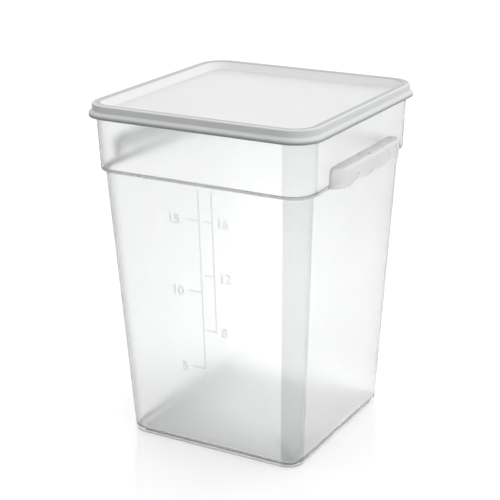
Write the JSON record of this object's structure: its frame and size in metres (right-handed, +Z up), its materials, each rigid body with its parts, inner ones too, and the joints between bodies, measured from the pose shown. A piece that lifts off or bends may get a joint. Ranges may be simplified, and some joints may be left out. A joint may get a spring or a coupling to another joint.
{
  "type": "food storage container",
  "caption": "Square tapered translucent food storage tub with a stepped collar, moulded side handles, a raised volume scale and a press-on lid.",
  "frame": {"origin": "centre of the foot, on the surface that the container stands on", "axes": "+Z up through the lid, -Y out of the face with the moulded scale, +X and -X out of the faces with the handles"},
  "size_m": [0.3004, 0.2864, 0.4],
  "materials": {
    "tub_plastic": "undyed translucent plastic, satin outside, moulded in one piece",
    "lid_plastic": "undyed translucent plastic, fine satin"
  },
  "bodies": {
    "tub_body": {"tub": "tub_plastic"},
    "lid_body": {"lid": "lid_plastic"}
  },
  "joints": [
    {"name": "lid_lift", "type": "slide", "parent": "tub_body", "child": "lid_body", "axis": [0, 0, 1], "range_m": [0, 0.15]}
  ]
}
